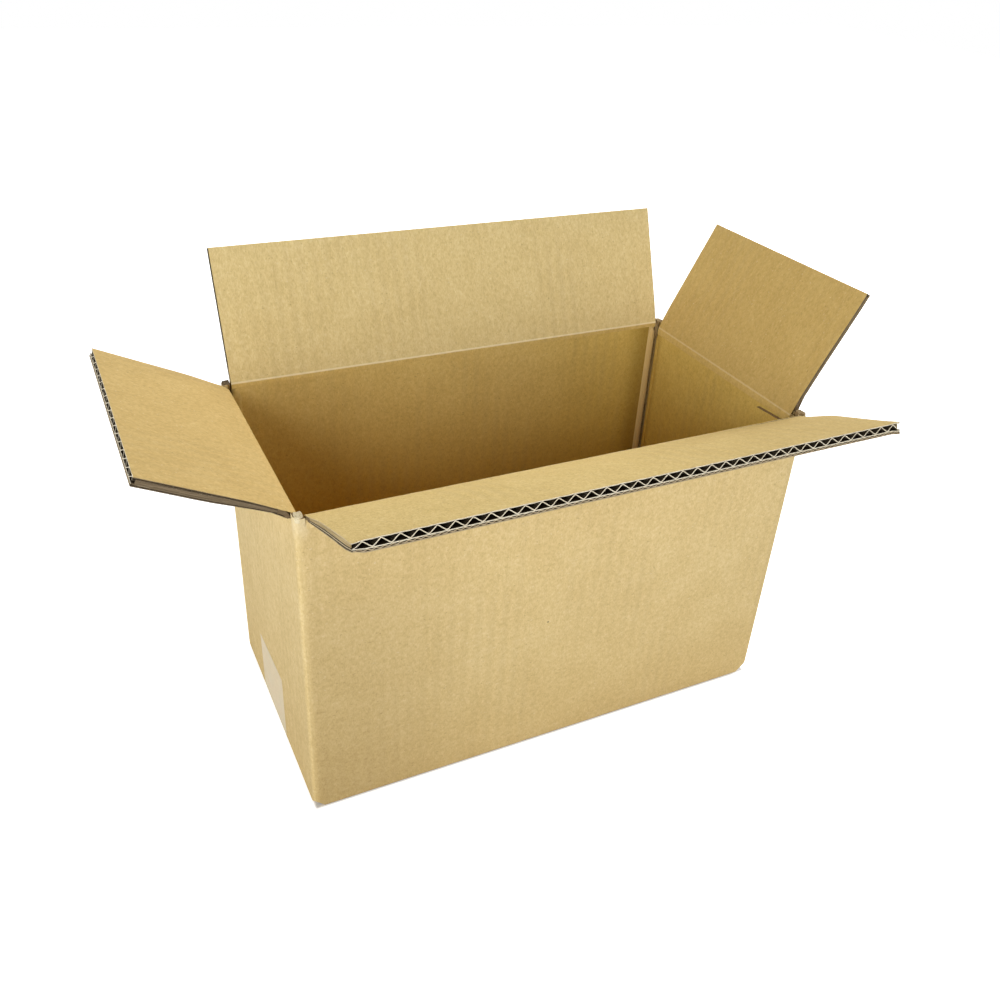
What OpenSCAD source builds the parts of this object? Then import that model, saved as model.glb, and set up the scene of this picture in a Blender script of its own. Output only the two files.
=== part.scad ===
// Double-wall corrugated carton with four long and four short flaps, standing open.
// The carton stands on the floor plane. X runs along its long walls, Y along its end
// walls, and the origin is the middle of its base. All sizes are in millimetres.

/* [Box] */
// Outer length, along the long walls
box_l = 300; // [220:1:420]
// Outer width, along the end walls
box_w = 154; // [120:1:240]
// Height of the long flaps' creases above the floor
box_h = 195; // [120:1:300]

/* [Board] */
// Thickness of each of the three flat liner sheets
liner_t = 0.4; // [0.3:0.05:0.6]
// Thickness of each of the two fluted sheets
medium_t = 0.4; // [0.3:0.05:0.6]
// Height of the large flutes, on the inner side
large_flute_h = 2.6; // [2:0.1:4]
// Pitch of the large flutes
large_flute_p = 8; // [6:0.1:10]
// Height of the fine flutes, on the outer side
fine_flute_h = 0.8; // [0.7:0.1:1.6]
// Pitch of the fine flutes
fine_flute_p = 3.5; // [3:0.1:5]

/* [Creases] */
// Thickness of the board where a crease has crushed it
crease_t = 1.6; // [1.2:0.1:2]
// Length of solid, crushed board between a flap's crease and its open flutes
crush_l = 8; // [7:0.5:14]
// Radius of the upright outer edges where the walls are folded
fold_r = 4; // [2:0.5:4.5]
// Radius of the lower outer edges where the bottom flaps are folded in
under_r = 3; // [1.5:0.5:4.5]
// Width of the bevels beside the walls' upright inner creases
bevel_w = 3.5; // [2:0.5:6]
// Clearance in the flaps' creases and between flaps that close on each other
fold_gap = 0.3; // [0.2:0.05:0.6]
// How far a flap folds out past upright, in degrees
open_max = 120; // [90:5:130]

/* [Slots] */
// Distance from the box's outer end face to the end of a long flap
long_slot = 5.5; // [5.3:0.1:9]
// Distance from the box's outer side face to the end of a short flap
short_slot = 7.3; // [5.3:0.1:12.3]
// Play between the end of a flap and the corner beside it
slot_play = 0.7; // [0.5:0.1:1.5]
// Gap between the free edges of two long flaps when closed
seam_gap = 1; // [0.6:0.1:4]

/* [Flap angles, outward from upright] */
// Front long flap
front_angle = 68.5; // [-90:0.5:120]
// Back long flap
back_angle = 21.5; // [-90:0.5:120]
// Left end flap
left_angle = 64; // [-90:0.5:120]
// Right end flap
right_angle = 27.5; // [-90:0.5:120]

/* [Joint and tape] */
// Width of the glued tab inside the right wall
tab_w = 27; // [20:1:45]
// Thickness of the glued tab, crushed by the gluing press
tab_t = 2.5; // [1.5:0.1:3]
// Drop of the tab's slanted top and bottom ends over its width
tab_taper = 2.5; // [1:0.5:10]
// Width of the packing tape
tape_w = 50; // [36:1:75]
// Thickness of the packing tape with its adhesive
tape_t = 0.1; // [0.1:0.05:0.3]
// Distance that the tape runs up each end wall
tape_up = 46; // [20:1:80]
// Slant of the tape's torn ends, over its width
tape_slant = 4; // [0:0.5:8]
// Offset of the tape from the middle of the base
tape_shift = 6; // [0:1:10]

/* [Wear] */
// Size of the crushed bottom corners, along each of a corner's three edges
corner_cut = 7.8; // [6.3:0.5:12.3]
// Size of the worst of them, at the front on the right
worst_cut = 10.3; // [6.3:0.5:14.3]

/* [Hidden] */
$fn = 48;

kraft = [0.79, 0.67, 0.45];
tape_tone = [0.84, 0.78, 0.66];

// The board's five layers, from the inner liner to the outer liner
board_t = 3 * liner_t + large_flute_h + fine_flute_h;
// Depth by which a flute's tip bites into the glue on its liner
glue_bite = 0.05;
crease_r = crease_t / 2;
close_angle = 90;

// Distance of a crease's axis from the outer face: the long flaps fold about the middle of
// the board, and the end flaps about its outer liner, so that the long ones close on top.
long_axis = board_t / 2;
end_axis = crease_r;
crease_step = board_t + fold_gap - (long_axis - end_axis);
long_crease_z = box_h;
end_crease_z = box_h - crease_step;

// All four flaps are cut to the same depth, and the long ones meet over the middle
flap_l = box_w / 2 - long_axis - seam_gap / 2;
long_flap_w = box_l - 2 * long_slot;
end_flap_w = box_w - 2 * short_slot;

// Levels of the closed bottom, from the tape up
base_z = tape_t;
inner_bottom_z = base_z + board_t + fold_gap;
floor_z = inner_bottom_z + board_t;
// The tab stays below the end flap that closes over it
tab_top_z = end_crease_z + end_axis - board_t - 2 * fold_gap;
tab_bottom_z = floor_z + 2 * fold_gap;

// Depth of the slit where the right wall's raw edge meets the folded front corner
joint_slit_w = 0.8;
joint_slit_d = crease_t;
overcut = 0.2;

function drop(depth, half_angle) = fold_gap / 2 / cos(half_angle) + depth * tan(half_angle);

// One face of the large fluted sheet: flats of width a on the lower line and b on the
// upper one, where the flutes' tips are glued to their liners
function flute_face(n, p, a, b, low, high) = [
    for (i = [0 : n])
        each concat(
            [[(i - n / 2) * p - a / 2, low], [(i - n / 2) * p + a / 2, low]],
            i < n ? [[(i - n / 2 + 0.5) * p - b / 2, high], [(i - n / 2 + 0.5) * p + b / 2, high]] : []
        )
];

// One face of the fine fluted sheet, whose tips are too small to need a flat
function zigzag_face(n, p, low, high) = [
    for (i = [0 : 2 * n])
        [(i - n) * p / 2, i % 2 == 0 ? low : high]
];

function reversed(list) = [for (i = [len(list) - 1 : -1 : 0]) list[i]];

// The two fluted sheets seen end on, each between liners whose faces lie one flute apart
module large_flutes(w) {
    p = large_flute_p;
    h = large_flute_h;
    n = floor(w / p);
    tip = p / 5;
    inner_tip = tip - medium_t;
    polygon(concat(
        flute_face(n, p, tip, inner_tip, -glue_bite, h - medium_t),
        reversed(flute_face(n, p, inner_tip, tip, medium_t, h + glue_bite))
    ));
}

module fine_flutes(w) {
    p = fine_flute_p;
    h = fine_flute_h;
    n = floor(w / p);
    polygon(concat(
        zigzag_face(n, p, -glue_bite, h - medium_t),
        reversed(zigzag_face(n, p, medium_t, h + glue_bite))
    ));
}

module liner(w) {
    translate([-w / 2, 0])
        square([w, liner_t]);
}

// Cut edge of the board, with its inner face on y = 0 and its outer face on y = board_t
module board_section(w) {
    mid_liner = liner_t + large_flute_h;
    liner(w);
    translate([0, liner_t])
        large_flutes(w);
    translate([0, mid_liner])
        liner(w);
    translate([0, mid_liner + liner_t])
        fine_flutes(w);
    translate([0, board_t - liner_t])
        liner(w);
}

// Extrudes a profile drawn as (outward, up) along a crease of length w
module along_crease(w) {
    translate([-w / 2, 0, 0])
        rotate([90, 0, 90])
            linear_extrude(w)
                children();
}

// Crushed heel of a flap, from its crease to where the flutes begin
module flap_heel(w, axis_depth) {
    inner = board_t - axis_depth;
    along_crease(w)
        polygon([
            [0, drop(0, close_angle / 2)],
            [0, drop(0, open_max / 2)],
            [axis_depth, drop(axis_depth, open_max / 2)],
            [axis_depth, crush_l],
            [-inner, crush_l],
            [-inner, drop(inner, close_angle / 2)]
        ]);
    rotate([0, 90, 0])
        cylinder(h = w, r = crease_r, center = true);
}

// A flap on its crease's axis, upright at angle 0 and with its outer face towards +Y
module flap(w, axis_depth, angle) {
    color(kraft)
        rotate([-angle, 0, 0]) {
            flap_heel(w, axis_depth);
            translate([0, axis_depth - board_t, crush_l])
                linear_extrude(flap_l - crush_l)
                    board_section(w);
        }
}

// Space above a wall's top edge: two bevels and a rounded seat for the flap's crease
module crease_space(w, axis_depth) {
    inner = board_t - axis_depth + overcut;
    outer = axis_depth + overcut;
    along_crease(w)
        polygon([
            [-inner, board_t],
            [-inner, -drop(inner, close_angle / 2)],
            [0, -drop(0, close_angle / 2)],
            [0, -drop(0, open_max / 2)],
            [outer, -drop(outer, open_max / 2)],
            [outer, board_t]
        ]);
    rotate([0, 90, 0])
        cylinder(h = w, r = crease_r + fold_gap, center = true);
}

// Places its child at a crease: long walls at side -1 (front) and 1 (back)
module at_long_crease(side) {
    translate([0, side * (box_w / 2 - long_axis), long_crease_z])
        rotate([0, 0, side > 0 ? 0 : 180])
            children();
}

// End walls at side -1 (left) and 1 (right)
module at_end_crease(side) {
    translate([side * (box_l / 2 - end_axis), 0, end_crease_z])
        rotate([0, 0, -90 * side])
            children();
}

module rounded_rectangle(l, w, r) {
    square([l - 2 * r, w], center = true);
    square([l, w - 2 * r], center = true);
    for (sx = [-1, 1], sy = [-1, 1])
        translate([sx * (l / 2 - r), sy * (w / 2 - r)])
            circle(r);
}

// Inside of the walls seen from above: each corner is a deep valley between two bevels
module wall_inside() {
    x = box_l / 2 - board_t;
    y = box_w / 2 - board_t;
    valley = board_t - crease_t;
    polygon([
        [x, y - bevel_w], [x + valley, y + valley], [x - bevel_w, y],
        [bevel_w - x, y], [-x - valley, y + valley], [-x, y - bevel_w],
        [-x, bevel_w - y], [-x - valley, -y - valley], [bevel_w - x, -y],
        [x - bevel_w, -y], [x + valley, -y - valley], [x, bevel_w - y]
    ]);
}

module walls() {
    translate([0, 0, base_z])
        linear_extrude(box_h - base_z)
            difference() {
                rounded_rectangle(box_l, box_w, fold_r);
                wall_inside();
            }
}

// The bottom flaps lie closed: the end ones inside, and the long ones under them
module bottom_flaps() {
    end_inset = box_l / 2 - board_t;
    long_inset = box_w / 2 - board_t;
    for (side = [-1, 1]) {
        translate([side > 0 ? end_inset - flap_l : -end_inset - overcut, -end_flap_w / 2, inner_bottom_z])
            cube([flap_l + overcut, end_flap_w, board_t]);
        translate([-long_flap_w / 2, side > 0 ? seam_gap / 2 : -long_inset - overcut, base_z])
            cube([long_flap_w, long_inset + overcut - seam_gap / 2, board_t]);
    }
}

// Tab folded on from the front wall and glued inside the right wall
module glue_tab() {
    x = box_l / 2 - board_t;
    start = -(box_w / 2 - board_t);
    valley = board_t - crease_t;
    end = start + bevel_w + tab_w;
    // Where the tab's bevel meets the front wall's own bevel
    reach = bevel_w + valley - tab_t;
    meet_y = start - valley * reach / (bevel_w + valley);
    intersection() {
        linear_extrude(box_h)
            polygon([
                [x - tab_t, end],
                [x - tab_t, start + bevel_w],
                [x - bevel_w + reach, meet_y],
                [x + valley + overcut, start - valley],
                [x + valley + overcut, start],
                [x + overcut, start + bevel_w],
                [x + overcut, end]
            ]);
        translate([x - board_t, 0, 0])
            rotate([90, 0, 90])
                linear_extrude(3 * board_t)
                    polygon([
                        [start - board_t, tab_bottom_z],
                        [end + overcut, tab_bottom_z + tab_taper],
                        [end + overcut, tab_top_z - tab_taper],
                        [start - board_t, tab_top_z]
                    ]);
    }
}

// Side view of a box of length l and height h on the tape, with its lower edges rounded
module folded_under(l, h, grow) {
    x = l / 2 + grow;
    r = under_r + grow;
    translate([0, base_z - grow]) {
        translate([r - x, 0])
            square([2 * (x - r), h]);
        translate([-x, r])
            square([2 * x, h - r]);
        for (side = [-1, 1])
            translate([side * (x - r), r])
                circle(r);
    }
}

// Waste outside a crushed corner of the base, for corner signs sx and sy
module corner_waste(sx, sy, s) {
    translate([sx * box_l / 2, sy * box_w / 2, base_z])
        rotate([0, 180 - atan(sqrt(2)), atan2(sy, sx)])
            translate([-2 * s, -2 * s, -s / sqrt(3)])
                cube([4 * s, 4 * s, 2 * s]);
}

module carton_body() {
    color(kraft)
        difference() {
            intersection() {
                union() {
                    walls();
                    bottom_flaps();
                    glue_tab();
                }
                rotate([90, 0, 0])
                    linear_extrude(box_w + 2, center = true)
                        folded_under(box_l, box_h, 0);
                rotate([90, 0, 90])
                    linear_extrude(box_l + 2, center = true)
                        folded_under(box_w, box_h, 0);
            }
            for (side = [-1, 1]) {
                at_long_crease(side)
                    crease_space(long_flap_w + 2 * slot_play, long_axis);
                at_end_crease(side)
                    crease_space(end_flap_w + 2 * slot_play, end_axis);
            }
            for (sx = [-1, 1], sy = [-1, 1])
                corner_waste(sx, sy, sx > 0 && sy < 0 ? worst_cut : corner_cut);
            translate([box_l / 2 - joint_slit_d, -box_w / 2 + board_t, base_z - 1])
                cube([joint_slit_d + 1, joint_slit_w, box_h + 2]);
        }
}

// Strip of tape under the base's middle seam and up both end walls
module bottom_tape() {
    half = tape_w / 2;
    color(tape_tone)
        intersection() {
            translate([0, tape_shift + half, 0])
                rotate([90, 0, 0])
                    linear_extrude(tape_w)
                        difference() {
                            folded_under(box_l, 2 * tape_up, tape_t);
                            folded_under(box_l, 3 * tape_up, 0);
                        }
            translate([-box_l, tape_shift, 0])
                rotate([90, 0, 90])
                    linear_extrude(2 * box_l)
                        polygon([
                            [-half - 1, -1],
                            [half + 1, -1],
                            [half + 1, tape_up - tape_slant / 2],
                            [-half - 1, tape_up + tape_slant / 2]
                        ]);
        }
}

module flap_front() {
    at_long_crease(-1)
        flap(long_flap_w, long_axis, front_angle);
}

module flap_back() {
    at_long_crease(1)
        flap(long_flap_w, long_axis, back_angle);
}

module flap_left() {
    at_end_crease(-1)
        flap(end_flap_w, end_axis, left_angle);
}

module flap_right() {
    at_end_crease(1)
        flap(end_flap_w, end_axis, right_angle);
}

carton_body();
flap_front();
flap_back();
flap_left();
flap_right();
bottom_tape();
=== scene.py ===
# %% [markdown]
# # A double-wall corrugated carton, standing open
#
# The carton is one sheet of brown board, cut, creased and folded. The CAD model gives its
# walls, its taped base and the places of its four top flaps. This script dresses that model:
# it makes the flaps again out of thin paper sheets, draws the paper across the creases, and
# gives every surface a finish made of nodes. All sizes are in metres, in the CAD's own frame.

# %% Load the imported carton
import math

import bmesh
import bpy
import numpy as np
from mathutils import Matrix, Vector


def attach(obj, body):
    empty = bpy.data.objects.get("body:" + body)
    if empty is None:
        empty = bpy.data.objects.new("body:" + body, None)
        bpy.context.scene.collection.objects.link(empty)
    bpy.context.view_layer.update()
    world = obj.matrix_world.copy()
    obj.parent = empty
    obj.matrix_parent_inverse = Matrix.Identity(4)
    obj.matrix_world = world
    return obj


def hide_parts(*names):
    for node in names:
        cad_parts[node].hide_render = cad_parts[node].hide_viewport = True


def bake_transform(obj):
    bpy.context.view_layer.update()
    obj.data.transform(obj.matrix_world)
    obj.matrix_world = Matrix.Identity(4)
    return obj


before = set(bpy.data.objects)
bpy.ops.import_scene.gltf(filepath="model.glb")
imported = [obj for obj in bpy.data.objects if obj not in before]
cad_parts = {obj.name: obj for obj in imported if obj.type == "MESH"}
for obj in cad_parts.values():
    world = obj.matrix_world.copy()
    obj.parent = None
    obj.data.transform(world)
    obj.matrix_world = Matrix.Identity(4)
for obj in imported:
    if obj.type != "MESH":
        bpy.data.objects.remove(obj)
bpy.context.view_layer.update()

MM = 0.001


def add(name, data):
    """Puts a new object with this data into the scene."""
    made = bpy.data.objects.new(name, data)
    bpy.context.scene.collection.objects.link(made)
    return made


# %% [markdown]
# ## Camera
#
# The photograph was taken from in front, a little to the left and above. The camera's place,
# its three directions and its focal length were found together with the carton's own edges, so
# the render can be laid over the photograph. A camera looks along its own -Z axis, so its
# matrix holds the directions right, up and backwards.

# %% Place the camera
FOCAL_PIXELS = 980.4
IMAGE_PIXELS = 1000
SENSOR = 36.0
NEAR_CLIP = 0.01
EYE = Vector((-0.2386, -0.4455, 0.4453))

right = Vector((0.89945, -0.43391, 0.05205))
up = Vector((0.19303, 0.50132, 0.84345))
back = right.cross(up)
camera_data = bpy.data.cameras.new("camera")
camera_data.sensor_width = SENSOR
camera_data.lens = FOCAL_PIXELS / IMAGE_PIXELS * SENSOR
camera_data.clip_start = NEAR_CLIP
camera = add("camera", camera_data)
directions = Matrix((right, up, back)).transposed().to_4x4()
camera.matrix_world = Matrix.Translation(EYE) @ directions
bpy.context.scene.camera = camera
print("lens:", round(camera_data.lens, 2), "mm")

# %% [markdown]
# ## One way to write node trees
#
# Materials and geometry trees are both graphs of nodes. A small class wraps one output socket
# and overloads the arithmetic signs, so a pattern can be written as a sum. Every other node
# comes from one method: its type, its settings, then the values or links of its sockets.


# %% Wrap sockets and trees
class Thread:
    """One output socket. Arithmetic on it adds Math nodes to its tree."""

    def __init__(self, loom, socket):
        self.loom, self.socket = loom, socket

    def __add__(self, other):
        return self.loom.maths("ADD", self, other)

    def __sub__(self, other):
        return self.loom.maths("SUBTRACT", self, other)

    def __mul__(self, other):
        return self.loom.maths("MULTIPLY", self, other)

    def __truediv__(self, other):
        return self.loom.maths("DIVIDE", self, other)

    def __rsub__(self, other):
        return self.loom.maths("SUBTRACT", other, self)

    __radd__, __rmul__ = __add__, __mul__


class Loom:
    """A node tree being written: a material's or a Geometry Nodes group's."""

    def __init__(self, tree):
        self.tree = tree

    def node(self, kind, settings=None, sockets=None, out=0):
        made = self.tree.nodes.new(kind)
        for key, value in (settings or {}).items():
            if key == "stops":
                ramp = made.color_ramp
                while len(ramp.elements) < len(value):
                    ramp.elements.new(0.5)
                for element, (place, colour) in zip(ramp.elements, value):
                    element.position, element.color = place, colour
            else:
                setattr(made, key, value)
        for key, value in (sockets or {}).items():
            socket = made.inputs[key]
            if isinstance(value, Thread):
                self.tree.links.new(value.socket, socket)
            elif value is not None:
                socket.default_value = value
        if out is None:
            return made
        return Thread(self, made.outputs[out])

    def maths(self, operation, a, b=0.0):
        return self.node("ShaderNodeMath", {"operation": operation}, {0: a, 1: b})

    def power(self, a, b):
        return self.maths("POWER", a, b)

    def least(self, a, b):
        return self.maths("MINIMUM", a, b)

    def most(self, a, b):
        return self.maths("MAXIMUM", a, b)

    def size_of(self, a):
        return self.maths("ABSOLUTE", a)

    def sine(self, a):
        return self.maths("SINE", a)

    def ramp(self, value, low, high, to_low=0.0, to_high=1.0, smooth=True):
        return self.node(
            "ShaderNodeMapRange",
            {"interpolation_type": "SMOOTHSTEP" if smooth else "LINEAR"},
            {
                "Value": value, "From Min": low, "From Max": high,
                "To Min": to_low, "To Max": to_high,
            },
        )

    def vector(self, x=0.0, y=0.0, z=0.0):
        return self.node("ShaderNodeCombineXYZ", None, {"X": x, "Y": y, "Z": z})

    def split(self, vector):
        made = self.node("ShaderNodeSeparateXYZ", None, {"Vector": vector}, out=None)
        return [Thread(self, socket) for socket in made.outputs]

    def stretch(self, vector, factors):
        return self.node(
            "ShaderNodeVectorMath", {"operation": "MULTIPLY"}, {0: vector, 1: factors}
        )

    def noise(self, vector, scale, detail=2.0, roughness=0.5):
        return self.node(
            "ShaderNodeTexNoise",
            {"noise_dimensions": "3D"},
            {"Vector": vector, "Scale": scale, "Detail": detail, "Roughness": roughness},
        )

    def bump(self, height, strength):
        return self.node(
            "ShaderNodeBump", None, {"Strength": strength, "Distance": 1.0, "Height": height}
        )

    def store(self, geometry, name, value, kind="BOOLEAN", domain="FACE"):
        """Keeps a value on a mesh, under a name."""
        return self.node(
            "GeometryNodeStoreNamedAttribute",
            {"data_type": kind, "domain": domain},
            {"Geometry": geometry, "Name": name, "Value": value},
        )

    def stored(self, name):
        return self.node(
            "GeometryNodeInputNamedAttribute", {"data_type": "BOOLEAN"}, {"Name": name}
        )

    def moved(self, geometry, x, y, z):
        """Gives each point of a mesh a new place."""
        return self.node(
            "GeometryNodeSetPosition",
            None,
            {"Geometry": geometry, "Position": self.vector(x, y, z)},
        )

    def painted(self, geometry, finish, where=None):
        return self.node(
            "GeometryNodeSetMaterial",
            None,
            {"Geometry": geometry, "Selection": where, "Material": finish},
        )

    def blend(self, factor, a, b, how="MIX"):
        """Mixes two colours, each a link or four numbers."""
        made = self.node(
            "ShaderNodeMix",
            {"data_type": "RGBA", "blend_type": how},
            {"Factor": factor},
            out=None,
        )
        for socket, value in ((made.inputs[6], a), (made.inputs[7], b)):
            if isinstance(value, Thread):
                self.tree.links.new(value.socket, socket)
            else:
                socket.default_value = value
        return Thread(self, made.outputs[2])


# %% [markdown]
# ## Kraft paper
#
# Kraft liner is brown, matt and cloudy. From a step away it shows soft clouds a centimetre
# across, short fibres that lie across the flutes, a few dark and pale specks, and the faint
# washboard of the flutes that are glued behind it. All of it is one function of two paper
# coordinates: the distance across the flutes and the distance along them. A flap carries
# these as an attribute, so its pattern turns with it. The walls take them from their Object
# coordinates, with the normal deciding which way across is.

# %% Mix the kraft finish
KRAFT_TONES = ((0.560, 0.415, 0.180), (0.690, 0.530, 0.252), (0.790, 0.640, 0.350))
FIBRE_DARK = (0.330, 0.215, 0.085, 1.0)
LARGE_PITCH = 8 * MM
FINE_PITCH = 3.5 * MM
FULL_TURN = 2 * math.pi
FIBRE_HEIGHT = 0.16 * MM
WAVE_HEIGHT = 0.10 * MM


def start_finish(name):
    material = bpy.data.materials.new(name)
    material.use_nodes = True
    material.node_tree.nodes.clear()
    return material, Loom(material.node_tree)


def end_finish(loom, shader):
    loom.node("ShaderNodeOutputMaterial", None, {"Surface": shader}, out=None)


def tinted(tones, light_gain):
    """The same tones with their red, green and blue each multiplied by a gain."""
    return [tuple(min(c * g, 0.92) for c, g in zip(tone, light_gain)) + (1.0,) for tone in tones]


def paper_colour(loom, across, along, depth, tones=tinted(KRAFT_TONES, (1, 1, 1))):
    """Colour and relief of kraft paper at a point given by its paper coordinates."""
    place = loom.vector(across, along, depth)
    cloud = loom.noise(place, 45.0, 2.0, 0.5)
    fleece = loom.noise(loom.stretch(place, (1.0, 0.8, 1.0)), 420.0, 3.0, 0.65)
    fibre = loom.noise(loom.stretch(place, (1.0, 0.45, 1.0)), 1300.0, 2.0, 0.6)
    tone = cloud * 0.16 + fleece * 0.42 + fibre * 0.42
    dark, middle, pale = tones
    colour = loom.node(
        "ShaderNodeValToRGB",
        {"stops": [(0.32, dark), (0.5, middle), (0.68, pale)]},
        {"Fac": tone},
    )
    specks = loom.noise(loom.stretch(place, (0.6, 1.2, 1.0)), 900.0, 1.0, 0.5)
    dark_specks = loom.ramp(specks, 0.70, 0.76)
    pale_specks = loom.ramp(specks, 0.30, 0.24)
    colour = loom.blend(dark_specks * 0.45, colour, FIBRE_DARK)
    colour = loom.blend(pale_specks * 0.35, colour, (0.86, 0.76, 0.54, 1.0))
    relief = fleece * 0.5 + fibre * 0.5
    return colour, relief


def washboard(loom, across, along):
    """A soft wave over each flute's glued tip, stronger in some places than in others."""
    patches = loom.noise(loom.vector(across, along * 0.35, 0.0), 22.0, 1.0, 0.5)
    patchy = loom.ramp(patches, 0.42, 0.62)
    return (loom.sine(across * (FULL_TURN / LARGE_PITCH)) * 0.5 + 0.5) * (patchy * 0.8 + 0.2)


def matt_paper(loom, colour, relief, wave):
    """Joins colour and relief into a dry, rough surface."""
    colour = loom.blend(wave * 0.13, colour, (0.40, 0.28, 0.12, 1.0))
    height = relief * FIBRE_HEIGHT + wave * WAVE_HEIGHT
    return loom.node(
        "ShaderNodeBsdfPrincipled",
        None,
        {
            "Base Color": colour,
            "Roughness": relief * 0.12 + 0.80,
            "Specular IOR Level": 0.25,
            "Normal": loom.bump(height, 0.3),
        },
    )


def wall_places(loom):
    """Across, along and depth on the box: across follows the face that the point is on."""
    point = loom.node("ShaderNodeTexCoord", out="Object")
    x, y, z = loom.split(point)
    nx, ny, nz = loom.split(loom.node("ShaderNodeNewGeometry", out="True Normal"))
    on_end = loom.ramp(loom.size_of(nx), 0.45, 0.55)
    flat = loom.ramp(loom.size_of(nz), 0.45, 0.55)
    across = x * (1 - on_end) + y * on_end
    across = across * (1 - flat) + x * flat
    along = z * (1 - flat) + y * flat
    depth = y * (1 - on_end) * 0.5 + x * on_end * 0.5
    return across, along, depth, (x, y, z), (nx, ny, nz)


# %% Finish the walls and base
kraft_walls, loom = start_finish("kraft_walls")
across, along, depth, (x, y, z), (nx, ny, nz) = wall_places(loom)
wide, deep = loom.size_of(x), loom.size_of(y)
colour, relief = paper_colour(loom, across, along, depth)
# Outside, the lower part of the walls is painted a little browner and darker, as painted shade.
low = loom.ramp(z, 0.165, 0.0, smooth=False)
painted_low_shade = loom.blend(low, (1, 1, 1, 1), (0.86, 0.82, 0.74, 1))
colour = loom.blend(low, colour, painted_low_shade, "MULTIPLY")
# Inside the carton the paper is painted a warmer, darker brown, and more so towards the base, as
# painted shade and bounced light.
INSIDE_TOP = (0.99, 0.93, 0.66, 1)
painted_inside_shade = loom.blend(loom.ramp(z, 0.190, 0.07), INSIDE_TOP, (0.92, 0.75, 0.30, 1))
inside = loom.ramp(wide, 147.3 * MM, 146.9 * MM) * loom.ramp(deep, 74.3 * MM, 73.9 * MM)
colour = loom.blend(inside, colour, painted_inside_shade, "MULTIPLY")
# Towards the right the inner paper is painted warmer, as painted bounced light, and darker towards
# the upright crease, as painted shade.
colour = loom.blend(loom.ramp(x, 0.03, 0.13) * inside, colour, (1, 1, 0.80, 1), "MULTIPLY")
shaded = loom.ramp(x, 0.120, 0.139) * loom.ramp(y, 0.0700, 0.0715)
colour = loom.blend(inside * shaded, colour, (0.60, 0.56, 0.42, 1), "MULTIPLY")

# %% Rub and darken the walls in places
# The back right ridge is painted pale, as painted light. Every valley is painted dark, and the
# ridge after it browner, as painted shade.
painted_ridge_light = loom.ramp(x, 139.3 * MM, 139.8 * MM) * loom.ramp(y, 71.0 * MM, 71.5 * MM)
colour = loom.blend(inside * painted_ridge_light * 0.7, colour, (0.84, 0.63, 0.30, 1))
painted_corner_shade = loom.ramp(wide, 144.3 * MM, 144.9 * MM) * loom.ramp(deep, 62.0 * MM, 67.0 * MM)
colour = loom.blend(inside * painted_corner_shade, colour, (0.80, 0.74, 0.62, 1), "MULTIPLY")
painted_valley_shade = loom.ramp(wide, 144.2 * MM, 144.8 * MM) * loom.ramp(deep, 69.9 * MM, 70.7 * MM)
colour = loom.blend(inside * painted_valley_shade, colour, (0.07, 0.035, 0.008, 1))
# The front wall's left end is painted a little darker, more so lower down, as painted shade, and
# the corners' tops are rubbed pale.
painted_left_shade = loom.ramp(x, -0.03, -0.13) * loom.ramp(ny, -0.6, -0.8)
painted_left_shade = painted_left_shade * loom.ramp(z, 0.19, 0.11, 0.5, 1.0)
colour = loom.blend(painted_left_shade, colour, (0.84, 0.82, 0.79, 1), "MULTIPLY")
corner = loom.ramp(wide, 142.5 * MM, 145.5 * MM) * loom.ramp(deep, 69.5 * MM, 72.5 * MM)
corner = corner * loom.ramp(z, 0.180, 0.192) * (1 - inside)
colour = loom.blend(corner * 0.2, colour, (0.92, 0.86, 0.66, 1))
# The lowest edge, which stands on the floor, is painted dark, as a painted contact shadow.
foot = loom.ramp(z, 1.5 * MM, 0.4 * MM) * (1 - inside)
colour = loom.blend(foot * 0.55, colour, (0.22, 0.17, 0.09, 1))
# The raw cut edges are the faces that look straight up, above the base. They are painted dark
# brown, as painted shade in their open flutes and a painted shadow line at the glued tab's top.
painted_top_shade = loom.ramp(z, 0.100, 0.101) * loom.ramp(nz, 0.8, 0.95)
pulp = loom.noise(loom.vector(x, y, z), 1800.0, 2.0, 0.6)
top_shade_colour = loom.blend(pulp, (0.10, 0.06, 0.02, 1), (0.30, 0.20, 0.09, 1))
colour = loom.blend(painted_top_shade, colour, top_shade_colour)
# The free edges of the inner bottom flaps are painted dark, as painted shade in the depth of open
# flutes.
INNER_FLAP_EDGE = 71.2 * MM
at_edge = loom.ramp(loom.size_of(wide - INNER_FLAP_EDGE), 0.3 * MM, 0.2 * MM)
flute_shade_edge = at_edge * loom.ramp(loom.size_of(nx), 0.8, 0.95)
colour = loom.blend(flute_shade_edge, colour, (0.05, 0.03, 0.012, 1))
# One dark speck sits in the front wall's paper.
SPECK_X, SPECK_Z = -10.2 * MM, 92.3 * MM
speck = loom.power(loom.power(x - SPECK_X, 2.0) + loom.power(z - SPECK_Z, 2.0), 0.5)
speck = loom.ramp(speck, 0.8 * MM, 0.4 * MM) * loom.ramp(y, -76.0 * MM, -76.5 * MM)
colour = loom.blend(speck * 0.7, colour, (0.12, 0.08, 0.04, 1))
wave = washboard(loom, across, along)
end_finish(loom, matt_paper(loom, colour, relief, wave))


def dress(node, finish):
    """Gives a CAD node its finish in place of the plain one that it was packed with."""
    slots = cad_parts[node].data.materials
    slots.clear()
    slots.append(finish)


dress("carton_body", kraft_walls)
print("walls finished with", len(kraft_walls.node_tree.nodes), "nodes")

# %% [markdown]
# The tape is clear film with a soft sheen. The brown paper shows through it, a little paler
# and greyer, with long faint wrinkles. The film is drawn as a coat over a paper colour, so it
# needs no transparent surface.

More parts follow.
